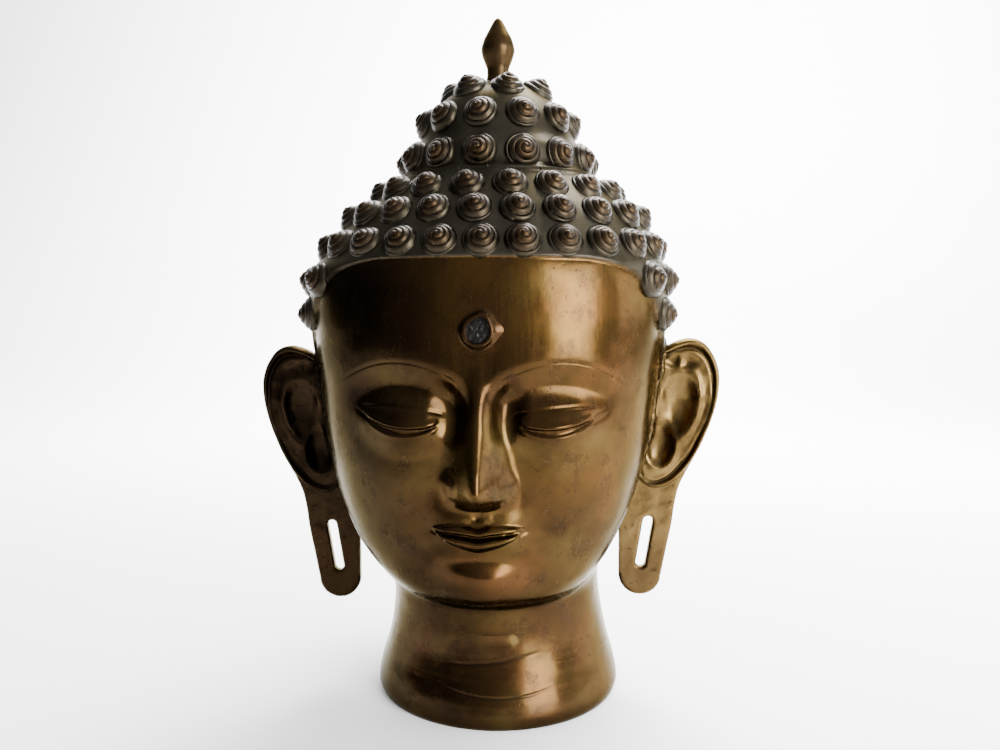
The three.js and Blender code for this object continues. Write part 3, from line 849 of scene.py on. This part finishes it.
bm = bmesh.new()
bm.from_mesh(ear_mesh)
bmesh.ops.smooth_vert(bm, verts=bm.verts, factor=0.5, use_axis_x=True, use_axis_z=True)
recess_layer = bm.verts.layers.float.new("recess")
SNAP = 0.45
for v in bm.verts:
    at = Vector((v.co.x, 0, v.co.z))
    nearest, _, edge = edge_tree.find(at)
    slot_place, _, slot = slot_tree.find(at)
    if edge < SNAP:
        at = nearest.copy()
        edge = 0.0
    if slot < SNAP:
        at = slot_place.copy()
        slot = 0.0
    height, dark_fill = ear_relief(at.x, at.z, edge, slot, groove_tree.find(at)[2])
    hammered = noise.noise(at * 0.16 + Vector((3, 0, 7))) * 0.35 + noise.noise(at * 0.4) * 0.12
    front = clamp(-v.co.y / BLANK_DEPTH)
    v.co = Vector((at.x, -front * (height + hammered), at.z))
    v[recess_layer] = dark_fill * front
bmesh.ops.smooth_vert(bm, verts=bm.verts, factor=0.5, use_axis_y=True)


# The bead of braze runs down the head just in front of the ear, and tapers at both ends
BEAD_FROM, BEAD_TO = 128, 207
BEAD_Y = -8.5
BEAD_FACETS = 14
BEAD_TAPER = 6  # steps of its length


def braze_bead(bm, roughness, seed):
    """Lumpy bead of braze where the front of the ear meets the head."""
    recess = bm.verts.layers.float["recess"]
    places = []
    for level in spread(BEAD_FROM, BEAD_TO, 1.1):
        low_angle, high_angle = 0.9, 1.57
        for _ in range(12):
            middle = (low_angle + high_angle) / 2
            if surface(middle, level).y / share < BEAD_Y:
                low_angle = middle
            else:
                high_angle = middle
        place = surface(low_angle, level) / share
        places.append(Vector((place.x - EAR_SHIFT, place.y, place.z)))
    ring = bmesh.ops.create_circle(bm, segments=BEAD_FACETS, radius=0.2, cap_ends=True)["verts"]
    bmesh.ops.translate(bm, verts=ring, vec=places[0])
    before = places[0]
    for i, place in enumerate(places[1:], 1):
        edges = list({e for v in ring for e in v.link_edges if all(w in ring for w in e.verts)})
        out = bmesh.ops.extrude_edge_only(bm, edges=edges)["geom"]
        ring = [g for g in out if isinstance(g, bmesh.types.BMVert)]
        bmesh.ops.translate(bm, verts=ring, vec=place - before)
        tapered = math.sin(math.pi * min(1, i / BEAD_TAPER, (len(places) - i) / BEAD_TAPER) / 2)
        girth = (2.1 + 0.5 * roughness) * tapered
        for v in ring:
            v[recess] = 0.7
            out_way = (v.co - place).normalized()
            lump = roughness * noise.noise((place + out_way * 2) * 0.3 + Vector((seed, 0, 0)))
            v.co = place + out_way * max(0.15, girth + lump)
        before = place
    bmesh.ops.contextual_create(bm, geom=[e for e in bm.edges if e.is_boundary])


def ear_piece(name, side, drop, roughness):
    """The ear at one side of the head, 1 for the right one and -1 for the left."""
    ear = bm.copy()
    braze_bead(ear, roughness, 5 * side)
    mirrored = Matrix.Diagonal((side * share, share, share, 1))
    place = Matrix.Translation((EAR_SHIFT * share, 0, -drop * share))
    bmesh.ops.transform(ear, verts=ear.verts, matrix=place @ mirrored)
    bmesh.ops.recalc_face_normals(ear, faces=ear.faces)
    return finished(name, ear)


def ear_bronze(name, dark, bright, dark_fill, lobe):
    """Rubbed bronze, darker in its grooves and hollows, with dark pits and a browner lobe."""
    n = Nodes(name)
    place = n.add("ShaderNodeSeparateXYZ", {0: n.coords})
    color = n.mix(n.ramp(n.noise(30.0, 5.0), 0.35, 0.68), dark, bright)
    color = n.mix(n.math("MULTIPLY", n.ramp(place.outputs["Z"], 0.12, 0.075), 0.75), color, lobe)
    color = n.mix(n.attribute("recess"), color, dark_fill)
    pits = n.ramp(n.noise(280.0, 2.0), 0.64, 0.74)
    color = n.mix(n.math("MULTIPLY", pits, 0.6), color, dark_fill)
    n.set(Base_Color=color, Metallic=1.0, Roughness=n.ramp(n.noise(120.0, 4.0), 0.3, 0.7, 0.24, 0.38))
    n.set(Specular_Tint=EDGE_TINT)
    n.bump(n.noise(260.0, 4.0), 0.00014, 0.5)
    return n.material


# The right ear's tones are olive and bright with painted light from the window side, the left one's nearly
# black with painted shade: (dark, bright, dark fill, lobe)
RIGHT_TONES_PAINTED_LIGHT = [
    rgb(0.06, 0.036, 0.012), rgb(0.15, 0.096, 0.033), rgb(0.012, 0.009, 0.005), rgb(0.045, 0.027, 0.012)]
LEFT_TONES_PAINTED_SHADE = [
    rgb(0.0075, 0.0048, 0.0027), rgb(0.018, 0.011, 0.0058), rgb(0.003, 0.002, 0.0015),
    rgb(0.014, 0.0078, 0.0036)]
EARS = [("ear_right", 1, 0, 1.3, RIGHT_TONES_PAINTED_LIGHT), ("ear_left", -1, EAR_DROP, 0.8, LEFT_TONES_PAINTED_SHADE)]
# Each ear gets its own tones, with painted light on the right one and painted shade on the left one.
for name, side, drop, roughness, painted_light_and_shade_tones in EARS:
    ear = ear_piece(name + "_casting", side, drop, roughness)
    ear.data.materials.append(ear_bronze(name + "_bronze", *painted_light_and_shade_tones))
    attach(ear, "root")
    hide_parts(name)
bm.free()


# The finial is a smooth bud of solid bronze, turned and polished. Its short stem is set on the crown
# and brazed there.
low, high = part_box("finial")
FINIAL_RADIUS = (high.y - low.y) / 2
STEM_SHARE = 0.65
STEM_WIDEST = 0.0065 / STEM_SHARE
BUD_LEVELS = 48
BUD_FACETS = 48
bud = curve([
    (0, 0.76), (0.1, STEM_SHARE), (0.19, STEM_SHARE), (0.285, 0.76), (0.4, 0.93), (0.5, 1), (0.65, 0.86),
    (0.8, 0.56), (0.89, 0.38), (0.965, 0.2), (1, 0.0)])
bm = bmesh.new()
chain = [bm.verts.new((0, 0, low.z))]
for i in range(BUD_LEVELS + 1):
    t = i / BUD_LEVELS
    widest = STEM_WIDEST + (FINIAL_RADIUS - STEM_WIDEST) * step(0.12, 0.28, t)
    chain.append(bm.verts.new((max(bud(t), 0.0) * widest, 0, low.z + t * (high.z - low.z))))
for a, b in zip(chain, chain[1:]):
    bm.edges.new((a, b))
bmesh.ops.spin(bm, geom=bm.verts[:] + bm.edges[:], cent=(0, 0, 0), axis=(0, 0, 1), angle=2 * math.pi,
               steps=BUD_FACETS, use_merge=True)
bmesh.ops.remove_doubles(bm, verts=bm.verts, dist=1e-6)
bmesh.ops.recalc_face_normals(bm, faces=bm.faces)
finial = finished("bud_finial", bm)


def finial_bronze(name):
    """Smooth brown bronze with faint clouds."""
    n = Nodes(name)
    clouds = n.ramp(n.noise(60.0, 4.0), 0.35, 0.7)
    color = n.mix(clouds, rgb(0.022, 0.0135, 0.0062), rgb(0.042, 0.026, 0.012))
    n.set(Base_Color=color, Metallic=1.0, Roughness=n.ramp(n.noise(150.0, 3.0), 0.3, 0.7, 0.3, 0.42))
    n.set(Specular_Tint=EDGE_TINT)
    n.bump(n.noise(250.0, 4.0), 0.0001, 0.4)
    return n.material


finial.data.materials.append(finial_bronze("finial_bronze"))
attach(finial, "root")
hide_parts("finial")


# Studio: a plain pale floor that runs up into a backdrop, a tall window-like light from the front right
# and a weaker one from the right side, with lamps on the floor and backdrop that stay out of the picture.
HALF_WIDE = 5.0
FLOOR_NEAR, FLOOR_FAR = -3.0, 1.1
SWEEP = 1.2
WALL_TOP = 4.0
bm = bmesh.new()
turns = spread(0, math.pi / 2, 0.06)
sweep_line = [(FLOOR_FAR + SWEEP * math.sin(t), SWEEP - SWEEP * math.cos(t)) for t in turns]
wall = FLOOR_FAR + SWEEP
sweep_line = [(FLOOR_NEAR, 0)] + sweep_line + [(wall, SWEEP), (wall, WALL_TOP)]
chain = [bm.verts.new((-HALF_WIDE, y, z)) for y, z in sweep_line]
edges = [bm.edges.new((a, b)) for a, b in zip(chain, chain[1:])]
out = bmesh.ops.extrude_edge_only(bm, edges=edges)
far_verts = [v for v in out["geom"] if isinstance(v, bmesh.types.BMVert)]
bmesh.ops.translate(bm, verts=far_verts, vec=(2 * HALF_WIDE, 0, 0))
bmesh.ops.recalc_face_normals(bm, faces=bm.faces)
floor = finished("floor", bm)
paper = Nodes("paper")
paper.set(Base_Color=rgb(0.9, 0.9, 0.9), Roughness=0.9, Specular_IOR_Level=0.1)
floor.data.materials.append(paper.material)


def softbox(name, place, target, size, watts, spread_angle):
    """A rectangular lamp that faces a target."""
    light = bpy.data.lights.new(name, "AREA")
    light.spread = math.radians(spread_angle)
    light.shape = "RECTANGLE"
    light.size, light.size_y = size
    light.energy = watts
    lamp = bpy.data.objects.new(name, light)
    lamp.location = place
    lamp.rotation_euler = (Vector(target) - Vector(place)).to_track_quat("-Z", "Y").to_euler()
    bpy.context.scene.collection.objects.link(lamp)


MID_HEAD = (0, 0, 0.2)
softbox("window", (1.06, -1.1, 0.5), MID_HEAD, (0.8, 1.1), 36, 120)
softbox("side_window", (1.5, 0.15, 0.6), MID_HEAD, (0.9, 0.9), 8, 120)
softbox("backdrop_light", (0.5, 1.0, 2.2), (0.3, 2.2, 0.6), (2.8, 0.5), 300, 110)
softbox("floor_light", (0.55, 0.9, 1.7), (0.4, 0.55, 0), (2.2, 0.9), 90, 75)

# The room round the set is darker on the left
world = bpy.data.worlds.new("studio")
bpy.context.scene.world = world
world.use_nodes = True
room = world.node_tree
background = room.nodes["Background"]
background.inputs[0].default_value = rgb(0.97, 0.98, 1.0)
toward_right = room.nodes.new("ShaderNodeVectorMath")
toward_right.operation = "DOT_PRODUCT"
toward_right.inputs[1].default_value = (0.95, 0.0, 0.3)
room.links.new(room.nodes.new("ShaderNodeTexCoord").outputs["Generated"], toward_right.inputs[0])
shade = room.nodes.new("ShaderNodeMapRange")
shade.inputs["From Min"].default_value = -0.9
shade.inputs["To Min"].default_value = 0.12
shade.inputs["To Max"].default_value = 2.0
room.links.new(toward_right.outputs["Value"], shade.inputs["Value"])
room.links.new(shade.outputs[0], background.inputs[1])

# The camera stands close, a little above the middle and a few degrees to the right
AZIMUTH = math.radians(3)
DISTANCE = 0.517
EYE_LEVEL = 0.231
PITCH = math.radians(4.7)
camera_data = bpy.data.cameras.new("camera")
camera_data.sensor_width = 36
camera_data.lens = 30.6
camera_data.clip_start = 0.02
camera_data.shift_x = 0.002
camera = bpy.data.objects.new("camera", camera_data)
camera.location = (DISTANCE * math.sin(AZIMUTH), -DISTANCE * math.cos(AZIMUTH), EYE_LEVEL)
camera.rotation_euler = (math.pi / 2 - PITCH, 0, AZIMUTH)
bpy.context.scene.collection.objects.link(camera)
bpy.context.scene.camera = camera
